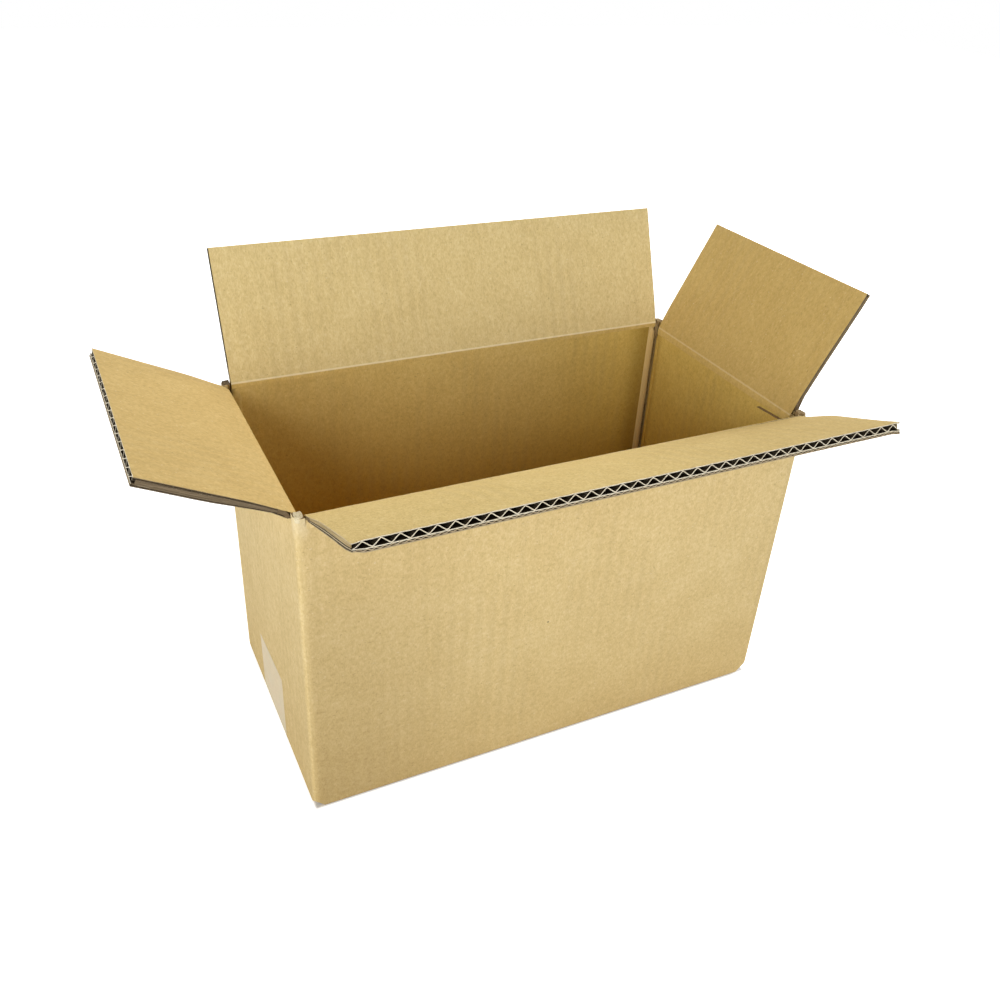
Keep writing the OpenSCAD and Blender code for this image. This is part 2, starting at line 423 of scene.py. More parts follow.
# %% Finish the tape
film, loom = start_finish("packing_tape")
across, along, depth, (x, y, z), _ = wall_places(loom)
colour, _ = paper_colour(loom, across, along, depth)
milk = loom.noise(loom.vector(x, y * 0.5, z), 90.0, 3.0, 0.6)
grey = loom.ramp(loom.noise(loom.vector(x, y, z), 45.0, 2.0, 0.5), 0.40, 0.60)
clouded = loom.blend(grey, (0.56, 0.47, 0.33, 1), (0.51, 0.46, 0.33, 1))
colour = loom.blend(milk * 0.30 + 0.50, colour, clouded)
folds = loom.noise(loom.stretch(loom.vector(x, y, z), (1.0, 3.0, 0.6)), 120.0, 3.0, 0.55)
WRINKLE_HEIGHT = 0.4 * MM
sheen = loom.node(
    "ShaderNodeBsdfPrincipled",
    None,
    {
        "Base Color": colour,
        "Roughness": folds * 0.2 + 0.45,
        "Specular IOR Level": 0.3,
        "Coat Weight": milk * 0.15 + 0.05,
        "Coat Roughness": 0.3,
        "Normal": loom.bump(folds * WRINKLE_HEIGHT, 0.35),
    },
)
end_finish(loom, sheen)
dress("bottom_tape", film)

# %% [markdown]
# ## Finishes for the flaps
#
# A flap's sheets carry a vector attribute named paper, which holds the distance across the
# flutes, the distance from the crease, and the depth in the board. Two kinds of finish read
# it: the kraft face of a liner, and the rough paper of flutes, cut edges and torn corners.

# %% Mix the flap finishes
def flap_places(loom):
    settings = {"attribute_name": "paper", "attribute_type": "GEOMETRY"}
    return loom.split(loom.node("ShaderNodeAttribute", settings, out="Vector"))


BOARD_MIDDLE = 2.3 * MM


def flap_paper(name, light_gain, rub, shaded_end=False):
    """Paper on a flap. Between the outer liners, in the flutes, it is painted nearly black, as
    painted shade.
    """
    material, loom = start_finish(name)
    across, along, depth = flap_places(loom)
    colour, relief = paper_colour(loom, across, along, depth * 40.0, tinted(KRAFT_TONES, light_gain))
    if shaded_end:
        # The inner face is painted darker towards the flap's right end, as painted shade.
        end = loom.ramp(across, 0.03, -0.13) * loom.ramp(depth, 3 * MM, 1 * MM)
        colour = loom.blend(end, colour, (0.80, 0.78, 0.74, 1), "MULTIPLY")
    painted_flute_shade = loom.ramp(
        loom.size_of(depth - BOARD_MIDDLE), BOARD_MIDDLE - 0.15 * MM, BOARD_MIDDLE - 0.32 * MM
    )
    colour = loom.blend(painted_flute_shade, colour, (0.032, 0.024, 0.018, 1), "MULTIPLY")
    # Below the crease the sheet is the wall's inside, with its painted shade tint, and its outer
    # face is the wall's outside.
    below = loom.ramp(along, 0.2 * MM, -0.2 * MM)
    outside = loom.ramp(depth, 1 * MM, 3 * MM)
    for where, tone in ((below * (1 - outside), INSIDE_TOP), (outside, (1, 1, 1, 1))):
        colour = loom.blend(
            where, colour, tuple(t / g for t, g in zip(tone, light_gain)) + (1.0,), "MULTIPLY"
        )
    # The crease itself is rubbed pale.
    rubbed = loom.ramp(loom.size_of(along), 0.75 * MM, 0.3 * MM) * (1 - outside)
    colour = loom.blend(rubbed * rub, colour, (0.95, 0.82, 0.54, 1))
    wave = washboard(loom, across, along)
    end_finish(loom, matt_paper(loom, colour, relief, wave))
    return material


# Each flap is painted lighter or darker and warmer or cooler in its own way, as painted light and
# shade; the ones at the ends are painted the warmest.
kraft_flaps_painted_light = {
    "flap_front": flap_paper("kraft_front_painted_light", (1.11, 1.08, 0.92), 0.5, shaded_end=True),
    "flap_back": flap_paper("kraft_back_painted_light", (1.08, 1.11, 1.10), 0.8),
    "flap_left": flap_paper("kraft_left_painted_light", (0.96, 0.88, 0.70), 0.0),
    "flap_right": flap_paper("kraft_right_painted_light", (0.87, 0.79, 0.56), 0.3),
}


def edge_paper(name, dark, middle, pale, streaked=False, outer_shade=0.0):
    """Paper of a fluted sheet or of a cut edge. The cut of the outer layers can be painted dark
    brown, as painted shade.
    """
    material, loom = start_finish(name)
    across, along, depth = flap_places(loom)
    if streaked:
        across, along = depth * 3.5, along * 0.12
    tones = tinted((dark, middle, pale), (1, 1, 1))
    colour, relief = paper_colour(loom, across, along, depth * 3.0, tones)
    if outer_shade:
        outer = loom.ramp(depth, BOARD_MIDDLE + 1.10 * MM, BOARD_MIDDLE + 1.25 * MM)
        colour = loom.blend(outer * outer_shade, colour, (0.30, 0.21, 0.10, 1))
    end_finish(loom, matt_paper(loom, colour, relief, loom.sine(depth * 9000.0) * 0.5 + 0.5))
    return material


# The fluted sheets are painted nearly black, as painted shade inside the board.
flute_shade_paper = edge_paper(
    "flute_shade_paper", (0.022, 0.016, 0.011), (0.038, 0.029, 0.020), (0.065, 0.050, 0.035)
)
cut_paper = edge_paper(
    "cut_paper", (0.60, 0.51, 0.35), (0.78, 0.70, 0.53), (0.90, 0.85, 0.70), outer_shade=0.75
)
crushed_paper = edge_paper(
    "crushed_paper", (0.06, 0.04, 0.02), (0.13, 0.09, 0.05), (0.25, 0.18, 0.10)
)
torn_paper = edge_paper(
    "torn_paper", (0.42, 0.33, 0.18), (0.74, 0.64, 0.42), (0.90, 0.83, 0.62)
)
torn_brown = edge_paper(
    "torn_brown", (0.12, 0.07, 0.03), (0.28, 0.19, 0.085), (0.46, 0.34, 0.18)
)
# Where a slot was punched, the flutes' flanks are pressed together behind the cut.
flank_tan = edge_paper(
    "flank_tan", (0.15, 0.10, 0.04), (0.44, 0.33, 0.16), (0.66, 0.53, 0.29), streaked=True
)
liner_edge = edge_paper(
    "liner_edge", (0.38, 0.29, 0.16), (0.60, 0.50, 0.31), (0.76, 0.66, 0.45), outer_shade=0.6
)
flank_brown = edge_paper(
    "flank_brown", (0.085, 0.060, 0.035), (0.175, 0.130, 0.080), (0.29, 0.22, 0.14), streaked=True
)

# %% [markdown]
# ## One sheet of paper, flat or fluted
#
# A liner is a flat sheet and a flute is the same sheet pushed into a wave, so one geometry
# tree makes both. A grid is laid across the flap, moved into the wave, and thickened by
# extruding its faces along their normals. Modelling each flute by hand would give the same
# mesh, but the tree keeps the pitch, height and thickness as inputs.

# %% Make the sheet tree
def new_tree(name, numbers, extra=()):
    """An empty geometry tree with one number input for each name, its loom, and its inputs."""
    tree = bpy.data.node_groups.new(name, "GeometryNodeTree")
    for label, value in numbers.items():
        kind = "NodeSocketInt" if isinstance(value, int) else "NodeSocketFloat"
        tree.interface.new_socket(label, in_out="INPUT", socket_type=kind).default_value = value
    for label, kind in extra:
        tree.interface.new_socket(label, in_out="INPUT", socket_type=kind)
    tree.interface.new_socket("Geometry", in_out="OUTPUT", socket_type="NodeSocketGeometry")
    loom = Loom(tree)
    source = loom.node("NodeGroupInput", out=None)
    return tree, loom, {s.name: Thread(loom, s) for s in source.outputs if s.name}


SHEET = {
    "Width": 0.289, "From": 0.0, "To": 0.074, "Level": 0.0, "Swing": 0.0, "Pitch": LARGE_PITCH,
    "Thickness": 0.4 * MM, "Columns": 400, "Rows": 8, "Frill": 0.0, "Seed": 1.0,
}
sheet_tree, loom, size = new_tree("paper_sheet", SHEET)
reach = size["To"] - size["From"]
grid = loom.node(
    "GeometryNodeMeshGrid",
    None,
    {
        "Size X": size["Width"], "Size Y": reach,
        "Vertices X": size["Columns"], "Vertices Y": size["Rows"],
    },
)
x, y, z = loom.split(loom.node("GeometryNodeInputPosition"))
wave = loom.maths("COSINE", x * FULL_TURN / size["Pitch"])
# A flute's flanks are straighter than a cosine's, because its paper is pulled tight.
TIGHTNESS = 0.93
wave = loom.maths("ARCSINE", wave * TIGHTNESS) * (1 / math.asin(TIGHTNESS))
share = y / reach + 0.5
tattered = loom.noise(loom.vector(x, size["Seed"], 0.0), 700.0, 2.0, 0.6) - 0.5
# The slot edges were punched, and bulge a little between the flutes' lines.
side_share = loom.power(loom.size_of(x) / (size["Width"] * 0.5), 60.0)
ragged = loom.noise(loom.vector(size["Seed"] * 1.7, y, x), 320.0, 3.0, 0.6) - 0.5
x = x + side_share * ragged * size["Frill"] * 0.8
rise = size["From"] + share * reach + tattered * size["Frill"] * loom.power(share, 6.0)
level = size["Level"] + wave * size["Swing"] - size["Thickness"] / 2
bent = loom.moved(grid, x, level, rise)
thick = loom.node(
    "GeometryNodeExtrudeMesh",
    {"mode": "FACES"},
    {"Mesh": bent, "Offset Scale": size["Thickness"] * -1.0, "Individual": False},
    out=None,
)
shell, side = (Thread(loom, thick.outputs[name]) for name in ("Mesh", "Side"))
rim = loom.store(shell, "cut", side)
joined = loom.node("GeometryNodeJoinGeometry", out=None)
under = loom.node("GeometryNodeFlipFaces", None, {"Mesh": bent})
for part in (rim, under):
    loom.tree.links.new(part.socket, joined.inputs[0])
WELD = 0.002 * MM
welded = loom.node(
    "GeometryNodeMergeByDistance",
    None,
    {"Geometry": Thread(loom, joined.outputs[0]), "Distance": WELD},
)
loom.node("NodeGroupOutput", None, {"Geometry": welded}, out=None)
print("sheet tree:", len(sheet_tree.nodes), "nodes")

# %% [markdown]
# ## A flap of double-wall board
#
# A flap is three liners with a large and a fine fluted sheet between them, all crushed to a
# solid heel near the crease. The flap's tree calls the sheet tree five times, adds the heel,
# lets the board bow a little, pinches or splays the corners that the photograph shows bent,
# and turns the whole flap to its place. It is turned into a plain mesh at the end, because
# each flap then moves as one piece with its CAD body.

# %% Sizes of the board and of its creases
LINER = 0.4 * MM
MEDIUM = 0.4 * MM
LARGE_FLUTE = 2.6 * MM
FINE_FLUTE = 0.8 * MM
BOARD = 3 * LINER + LARGE_FLUTE + FINE_FLUTE
CRUSH = 8 * MM
FLAP = 74.2 * MM
LONG_DEPTH = BOARD / 2
END_DEPTH = 0.8 * MM
CREASE_GAP = 0.3 * MM
# The CAD flaps' outer bevel rises this much for each unit that it goes outwards.
BEVEL_RISE = 1.74

# The press is how far the inner face is crushed in at the crease, and tilt what it gains
# towards one end. It fades to nothing at the height press_to. Trim is what one side has lost.
FLAPS = {
    "flap_front": dict(
        body="front_flap", width=289, depth=LONG_DEPTH, angle=68.5, at=(0, -74.7, 195), turn=180,
        press=2.35, tilt=-0.45, press_to=32,
    ),
    "flap_back": dict(
        body="back_flap", width=289, depth=LONG_DEPTH, angle=21.5, at=(0, 74.7, 195), turn=0,
        press=0.45, tilt=0.0, press_to=13,
    ),
    "flap_left": dict(
        body="left_flap", width=139.4, depth=END_DEPTH, angle=64, at=(-149.2, 0, 191.6), turn=90,
        press=0.9, tilt=0.0, press_to=26,
    ),
    "flap_right": dict(
        body="right_flap", width=139.4, depth=END_DEPTH, angle=27.5, at=(149.2, 0, 191.6), turn=-90,
        press=0.45, tilt=0.0, press_to=12, trim=2.0,
    ),
}
for flap in FLAPS.values():
    flap.setdefault("trim", 0.0)
    for key in ("width", "press", "tilt", "press_to", "trim"):
        flap[key] *= MM
    flap["at"] = Vector(flap["at"]) * MM
    flap["angle"] = math.radians(flap["angle"])
    flap["turn"] = math.radians(flap["turn"])

# %% Make the flap tree
FLAP_INPUTS = {
    "Width": 0.289, "Depth": LONG_DEPTH, "Angle": 0.0, "Turn": 0.0, "Bow": 0.25 * MM, "Seed": 1.0,
    "Pinch": 0.0, "Splay": 0.0, "Skew": 0.0, "Sag": 0.0, "Press": 0.0, "Tilt": 0.0,
    "Press To": 13 * MM, "Inset": 0.5 * MM, "Swell": 0.0, "Flank Level": 2.35 * MM,
    "Trim": 0.0, "Nip": 0.0, "Nip To": 1.0,
}
FLAP_FINISHES = ("Face", "Flute", "Cut", "Crushed", "Flank", "Slot Cut")
flap_tree, loom, size = new_tree(
    "board_flap",
    FLAP_INPUTS,
    [("Crease", "NodeSocketVector"), *((name, "NodeSocketMaterial") for name in FLAP_FINISHES)],
)

# %% Lay the five sheets
layers = loom.node("GeometryNodeJoinGeometry", out=None)
inner = size["Depth"] - BOARD


def lay_sheet(level, start, swing, pitch, columns_per_metre, fluted, seed, rows=9):
    """Adds one sheet to the flap, with its middle at a level above the inner face."""
    made = loom.node("GeometryNodeGroup", {"node_tree": sheet_tree}, out=None)
    columns = loom.node(
        "FunctionNodeFloatToInt", {"rounding_mode": "ROUND"}, {0: size["Width"] * columns_per_metre}
    )
    for key, value in {
        "Width": size["Width"], "From": start, "To": FLAP, "Level": inner + level, "Swing": swing,
        "Pitch": pitch, "Thickness": MEDIUM if fluted else LINER, "Columns": columns, "Rows": rows,
        "Frill": 0.7 * MM if fluted else 0.35 * MM, "Seed": size["Seed"] + seed,
    }.items():
        if isinstance(value, Thread):
            loom.tree.links.new(value.socket, made.inputs[key])
        else:
            made.inputs[key].default_value = value
    kept = loom.store(Thread(loom, made.outputs[0]), "fluted", fluted)
    loom.tree.links.new(kept.socket, layers.inputs[0])


middle = LINER + LARGE_FLUTE
large_swing = (LARGE_FLUTE - MEDIUM) / 2 + 0.03 * MM
fine_swing = (FINE_FLUTE - MEDIUM) / 2 + 0.03 * MM
inner_start = BOARD - size["Depth"] + CREASE_GAP
outer_start = size["Depth"] * BEVEL_RISE + CREASE_GAP
lay_sheet(LINER / 2, inner_start, 0.045 * MM, LARGE_PITCH, 1200, False, 1, rows=22)
lay_sheet(middle + LINER / 2, CRUSH, 0.0, LARGE_PITCH, 400, False, 2)
lay_sheet(BOARD - LINER / 2, outer_start, 0.015 * MM, FINE_PITCH, 1800, False, 3)
lay_sheet(LINER + LARGE_FLUTE / 2, CRUSH - 0.5 * MM, large_swing, LARGE_PITCH, 2000, True, 4)
lay_sheet(middle + LINER + FINE_FLUTE / 2, CRUSH - 0.5 * MM, fine_swing, FINE_PITCH, 2600, True, 5)

# %% Add the heel and the flanks
# The heel is a bar whose section follows the bevels of the CAD flap, inside the liners.
bar = loom.node(
    "GeometryNodeMeshCube",
    None,
    {
        "Size": loom.vector(size["Width"], 1.0, 1.0),
        "Vertices X": 60, "Vertices Y": 4, "Vertices Z": 5,
    },
)
bx, by, bz = loom.split(loom.node("GeometryNodeInputPosition"))
HEEL_FOOT = 0.9 * MM
UNDER_LINER = 0.25 * MM
heel_rise = (bz + 0.5) * (CRUSH - HEEL_FOOT) + HEEL_FOOT
inner_side = loom.least(heel_rise - UNDER_LINER, BOARD - size["Depth"] - UNDER_LINER)
outer_side = loom.least((heel_rise - 0.35 * MM) / 1.75, size["Depth"] - UNDER_LINER)
heel_y = (by + 0.5) * (outer_side + inner_side) - inner_side
heel = loom.store(loom.moved(bar, bx, heel_y, heel_rise), "crushed", True)
loom.tree.links.new(heel.socket, layers.inputs[0])

# Behind each slot edge stands a thin plate, the flutes' pressed flank.
PLATE = (0.5 * MM, 2.75 * MM)
for side in (-1, 1):
    plate = loom.node(
        "GeometryNodeMeshCube",
        None,
        {"Size": (*PLATE, FLAP - CRUSH - 1.0 * MM), "Vertices Y": 3, "Vertices Z": 24},
    )
    place = loom.vector(
        (size["Width"] / 2 - size["Inset"] - PLATE[0] / 2) * side,
        inner + size["Flank Level"],
        (FLAP + CRUSH) / 2 - 1.0 * MM,
    )
    plate = loom.node("GeometryNodeTransform", None, {"Geometry": plate, "Translation": place})
    loom.tree.links.new(loom.store(plate, "flank", True).socket, layers.inputs[0])

# %% Mark the board, then press and bend it
# Paper coordinates are stored before the board is bent or turned.
x, y, z = loom.split(loom.node("GeometryNodeInputPosition"))
board = Thread(loom, layers.outputs[0])
board = loom.store(board, "paper", loom.vector(x, z, y - inner), "FLOAT_VECTOR", "POINT")
is_cut, is_fluted = loom.stored("cut"), loom.stored("fluted")
at_side = loom.maths("GREATER_THAN", loom.size_of(x), size["Width"] / 2 - 0.4 * MM)
# At a slot the liners' cuts show, and the fluted sheets' own edges lie in the dark.
for name, value in (
    ("slot_cut", at_side * is_cut * (1 - is_fluted)), ("cut", is_cut * (1 - at_side * is_fluted))
):
    board = loom.store(board, name, value)
# The board bows where it isn't held: nowhere at the crease, most at the free edge.
free = loom.ramp(z, 10 * MM, FLAP)
sway = loom.noise(loom.vector(x, size["Seed"] * 3.0, z * 0.6), 9.0, 1.0, 0.4) - 0.5
out = y + sway * size["Bow"] * 6.0 * free
# Above the crease the board is pressed thinner, so its inner face leans back.
inner_share = loom.ramp(y, inner + BOARD, inner, smooth=False)
press = size["Press"] + size["Tilt"] * x / (size["Width"] / 2)
press = press * loom.ramp(z, size["Press To"], 2.0 * MM)
out = out + inner_share * press
# A free edge can swell, where damp has loosened the flutes.
out = out + (1 - inner_share) * size["Swell"] * loom.ramp(z, 35 * MM, FLAP)
# The slotting knife nips the outer liner in along a flap's two sides, up to some height.
at_slot = loom.ramp(loom.size_of(x), size["Width"] / 2 - 6 * MM, size["Width"] / 2)
nipped = loom.ramp(z, 1.5 * MM, 6 * MM) * loom.ramp(z, size["Nip To"], size["Nip To"] * 0.25)
out = out - (1 - inner_share) * at_slot * size["Nip"] * nipped
# Beside the crease nothing may stand outside the bevel that lets the flap fold right over.
out = loom.least(out, z / BEVEL_RISE - 0.15 * MM)

# %% Sag, trim and pinch the board
# One end can sag between the crease and the free edge.
sag = loom.ramp(x, 20 * MM, size["Width"] / -2) * loom.sine(z * (math.pi / FLAP))
out = out + sag * size["Sag"]
# One side can be trimmed back, a little less towards the free edge.
trimmed = loom.ramp(z, 20 * MM, FLAP, 1.0, 0.6)
x = x - loom.most(x, 0.0) * 2 / size["Width"] * trimmed * size["Trim"]
# A free edge can be cut out of square, which makes the flap longer towards one end.
z = z + size["Skew"] * (x / size["Width"] + 1) * (z / FLAP)
# One corner is pinched flat, and at the other the inner liner springs away from its flutes.
CORNER = 6 * MM
near_left = loom.ramp(x, size["Width"] / 2 - CORNER, size["Width"] / 2 - 0.5 * MM)
near_right = loom.ramp(x * -1.0, size["Width"] / 2 - CORNER, size["Width"] / 2)
near_edge = loom.ramp(z, FLAP - 12 * MM, FLAP)
centre = inner + BOARD / 2
pinched = near_left * near_edge * size["Pinch"]
out = out * (1 - pinched) + (centre - 0.6 * MM) * pinched
inner_face = loom.ramp(y, inner + LINER * 1.2, inner + LINER)
out = out - near_right * near_edge * size["Splay"] * (inner_face * 1.4 - 1.05)

# %% Place the board and give its parts their finishes
placed = loom.node(
    "GeometryNodeTransform",
    None,
    {
        "Geometry": loom.moved(board, x, out, z),
        "Translation": size["Crease"],
        "Rotation": loom.vector(size["Angle"] * -1.0, 0.0, size["Turn"]),
    },
)
real = loom.node("GeometryNodeRealizeInstances", None, {"Geometry": placed})
dressed = loom.painted(real, size["Face"])
for mark, finish in (
    ("fluted", "Flute"), ("cut", "Cut"), ("crushed", "Crushed"), ("flank", "Flank"),
    ("slot_cut", "Slot Cut"),
):
    dressed = loom.painted(dressed, size[finish], loom.stored(mark))
loom.node("NodeGroupOutput", None, {"Geometry": dressed}, out=None)
print("flap tree:", len(flap_tree.nodes), "nodes")


# %% Grow a tree into a plain mesh
def shade(mesh, sharp_degrees):
    mesh.shade_smooth()
    mesh.set_sharp_from_angle(angle=math.radians(sharp_degrees))


def grow(name, tree, values):
    """Runs a geometry tree on an empty mesh and keeps the result as an ordinary object."""
    seed = add(name + ".seed", bpy.data.meshes.new(name + ".seed"))
    modifier = seed.modifiers.new("tree", "NODES")
    modifier.node_group = tree
    sockets = {s.name: s.identifier for s in tree.interface.items_tree if s.in_out == "INPUT"}
    for label, value in values.items():
        modifier[sockets[label]] = value
    bpy.context.view_layer.update()
    graph = bpy.context.evaluated_depsgraph_get()
    mesh = bpy.data.meshes.new_from_object(seed.evaluated_get(graph), depsgraph=graph)
    bpy.data.objects.remove(seed)
    mesh.name = name
    shade(mesh, 35)
    return add(name, mesh)


# %% Grow the four flaps
WEAR = {
    "flap_front": {
        "Bow": 0.06 * MM, "Pinch": 0.3, "Splay": 0.7 * MM, "Sag": 0.2 * MM, "Inset": 0.1 * MM,
        "Swell": 0.8 * MM, "Flank Level": 1.8 * MM, "Flank": flank_tan, "Slot Cut": liner_edge,
    },
    "flap_back": {
        "Bow": 0.16 * MM, "Inset": 0.3 * MM, "Flank": flank_brown, "Slot Cut": flank_brown,
    },
    "flap_left": {
        "Bow": 0.10 * MM, "Nip": 1.3 * MM, "Nip To": 44 * MM, "Inset": 0.1 * MM,
        "Flank": flank_brown, "Slot Cut": flank_brown,
    },
    "flap_right": {
        "Bow": 0.12 * MM, "Skew": 1.5 * MM, "Nip": 1.7 * MM, "Inset": 0.1 * MM,
        "Flank": flank_brown, "Slot Cut": flank_tan,
    },
}
for seed, (node, flap) in enumerate(FLAPS.items()):
    values = {
        "Crease": flap["at"], "Seed": 1.0 + seed, "Face": kraft_flaps_painted_light[node],
        "Flute": flute_shade_paper, "Cut": cut_paper, "Crushed": crushed_paper,
    }
    for key in ("width", "depth", "angle", "turn", "press", "tilt", "press_to", "trim"):
        values[key.replace("_", " ").title()] = flap[key]
    values.update(WEAR[node])
    piece = grow(node.replace("flap_", "board_"), flap_tree, values)
    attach(piece, flap["body"])
    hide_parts(node)
    print(piece.name, len(piece.data.polygons), "faces")

# %% [markdown]
# ## Paper across the creases
#
# On the real carton the liners run on from wall to flap, and the crease is a groove that was
# pressed into the board. Each flap gets two thin skins, one inside and one outside, which
# bend between the box and the flap. A skin is drawn as it lies when the flap stands upright,
# and each of its points is then turned about the crease by its own share of the flap's angle.
# That share has to match the finished point's place across the bend, so it is found by repeating
# the two steps until they agree.

# %% Turn points about a crease
SETTLE_STEPS = 200
SETTLE_PULL = 0.4


def smooth(t):
    t = np.clip(t, 0.0, 1.0)
    return t * t * (3 - 2 * t)


def turned(points, angles):
    """Turns (out, up) points outwards about the crease."""
    c, s = np.cos(angles), np.sin(angles)
    return np.stack([points[:, 0] * c + points[:, 1] * s, points[:, 1] * c - points[:, 0] * s], 1)


def skin_share(points, angle, start, end):
    """Each point's share of the flap's angle, from its place once it is turned by that share."""
    d = end - start
    share = smooth((points[:, 1] + abs(start[1])) / (2 * abs(start[1])))
    for _ in range(SETTLE_STEPS):
        placed = turned(points, share * angle)
        wanted = smooth(((placed - start) @ d) / (d @ d))
        share = share * (1 - SETTLE_PULL) + wanted * SETTLE_PULL
    return share


# %% Build a closed strip
def plain_mesh(name, points, faces, finish):
    mesh = bpy.data.meshes.new(name)
    mesh.from_pydata(points, [], faces)
    mesh.materials.append(finish)
    mesh.update()
    return mesh


def close_outwards(mesh):
    """Points a closed mesh's faces outwards and shades it smooth."""
    shell = bmesh.new()
    shell.from_mesh(mesh)
    bmesh.ops.recalc_face_normals(shell, faces=shell.faces)
    shell.to_mesh(mesh)
    shell.free()
    shade(mesh, 40)


def strip(name, flap, xs, lines, ups, finish, depth=0.0):
    """A closed strip along the crease: for each x, a line of (out, up) points and its back."""
    home = Matrix.Translation(flap["at"]) @ Matrix.Rotation(flap["turn"], 4, "Z")
    columns, rows = len(xs), len(ups)
    points, paper = [], []
    for back in (0, 1):
        for x, line in zip(xs, lines):
            points += [tuple(home @ Vector((x, a, b))) for a, b in line[back]]
            paper += [(x, u, depth) for u in ups]
    layer = columns * rows
    faces = []
    for i in range(columns - 1):
        for j in range(rows - 1):
            a = i * rows + j
            faces.append((a, a + 1, a + rows + 1, a + rows))
            faces.append((a + layer, a + rows + layer, a + rows + 1 + layer, a + 1 + layer))
    for i in range(columns - 1):
        for a, b in ((i * rows, (i + 1) * rows), ((i + 2) * rows - 1, (i + 1) * rows - 1)):
            faces.append((a, b, b + layer, a + layer))
    for j in range(rows - 1):
        for a, b in ((j + 1, j), ((columns - 1) * rows + j, (columns - 1) * rows + j + 1)):
            faces.append((a, b, b + layer, a + layer))
    mesh = plain_mesh(name, points, faces, finish)
    mesh.attributes.new("paper", "FLOAT_VECTOR", "POINT").data.foreach_set(
        "vector", np.array(paper, np.float32).ravel()
    )
    close_outwards(mesh)
    return add(name, mesh), home


# %% Where a skin runs
# A skin's thickness, how far it stands proud, and how far its two ends dive under the paper.
SKIN = 0.16 * MM
PROUD = 0.05 * MM
SUNK = 0.06 * MM
END_RUN = 0.8 * MM
COLUMN_STEP = 1.4 * MM
WANDER_POINTS = 60


def stations(flap):
    """Places along a crease, and how far the crease wanders there."""
    width = flap["width"]
    xs = np.linspace(-width / 2, width / 2 - flap["trim"], int(width / COLUMN_STEP))
    rng = np.random.default_rng(int(width / MM) + int(math.degrees(flap["angle"])))
    knots = np.linspace(xs[0], xs[-1], WANDER_POINTS)
    return xs, np.interp(xs, knots, rng.normal(0, 1.0, WANDER_POINTS))


def offset(line, distance):
    """Moves a line of (out, up) points sideways, to its inner side."""
    along = np.gradient(line, axis=0)
    along /= np.linalg.norm(along, axis=1)[:, None]
    return line + np.stack([-along[:, 1], along[:, 0]], 1) * np.reshape(distance, (-1, 1))


def inner_face(flap, x, up):
    """The flap's inner face at a height above its crease, at rest, after it was pressed."""
    press = flap["press"] + flap["tilt"] * x / (flap["width"] / 2)
    press *= 1 - smooth((up - 2 * MM) / (flap["press_to"] - 2 * MM))
    upright = np.array([[press - (BOARD - flap["depth"]), up]])
    return turned(upright, np.array([flap["angle"]]))[0]


# %% Draw one inner skin
def inside_skin(name, flap, finish, weight, wall_half, flap_half):
    """The inner liner over the crease at rest: up the wall, round a conic curve, and on."""
    face = BOARD - flap["depth"]
    foot = np.array([-face, -wall_half])
    t = np.linspace(0, 1, 25)[:, None]
    xs, wander = stations(flap)
    lines = []
    for x, drift in zip(xs, wander):
        head = inner_face(flap, x, flap_half)
        after = [inner_face(flap, x, flap_half + step * MM) for step in (1.0, 2.0, 3.0)]
        slope = (after[0] - head)[1] / (after[0] - head)[0]
        corner = np.array([-face, head[1] - slope * (head[0] + face)])
        share = (1 - t) ** 2 + 2 * weight * t * (1 - t) + t**2
        curve = ((1 - t) ** 2 * foot + 2 * weight * t * (1 - t) * corner + t**2 * head) / share
        line = np.vstack([foot - [0, 1.2 * MM], foot - [0, 0.5 * MM], curve, after])
        steps = np.r_[0, np.cumsum(np.linalg.norm(np.diff(line, axis=0), axis=1))]
        ups = steps - steps[2 + len(t) // 2]
        ends = smooth(np.minimum(steps, steps[-1] - steps) / END_RUN)
        rise = (0.10 + 0.035 * drift) * MM * np.exp(-((ups / (0.42 * MM)) ** 2))
        lift = (PROUD + SUNK) * ends - SUNK + rise
        lines.append((offset(line, lift), offset(line, lift - SKIN)))
    made, home = strip(name, flap, xs, lines, ups, finish)
    far = inner_face(flap, 0.0, flap_half + 0.1 * MM)
    home @ Vector((0, -face, -wall_half - 0.1 * MM))
    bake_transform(made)
    return made


# %% Draw one outer skin
def outside_skin(name, flap, finish):
    """The outer liner over the crease, folded back on itself at the flap's angle."""
    face = flap["depth"]
    half = face * BEVEL_RISE + 0.35 * MM
    bend_half = half + 0.2 * MM
    after = 2.0 * MM
    near = np.array([face, -bend_half])
    far = turned(np.array([[face, bend_half]]), np.array([flap["angle"]]))[0]
    ups = np.linspace(-half - after, half + after, 27)
    ends = smooth((half + after - np.abs(ups)) / END_RUN)
    xs, wander = stations(flap)
    lines = []
    for drift in wander:
        pair = []
        for back in (0, 1):
            out = face - SUNK + (PROUD + SUNK + 0.02 * MM * drift) * ends - back * SKIN
            flat = np.stack([out, ups], 1)
            pair.append(turned(flat, skin_share(flat, flap["angle"], near, far) * flap["angle"]))
        lines.append(pair)
    made, home = strip(name, flap, xs, lines, ups, finish, depth=BOARD)
    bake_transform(made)
    return made


# %% Draw the eight skins
FOLD_WEIGHT = {"flap_front": 1.0, "flap_back": 2.5, "flap_left": 1.2, "flap_right": 2.5}
for node, flap in FLAPS.items():
    side_name = node.replace("flap_", "")
    wall_half = BOARD - flap["depth"] + CREASE_GAP
    inside = inside_skin(
        "crease_inside_" + side_name, flap, kraft_flaps_painted_light[node], FOLD_WEIGHT[node],
        wall_half, wall_half + 0.2 * MM,
    )
    outside = outside_skin("crease_outside_" + side_name, flap, kraft_flaps_painted_light[node])
    print(inside.name, outside.name, len(inside.data.polygons), "faces each")

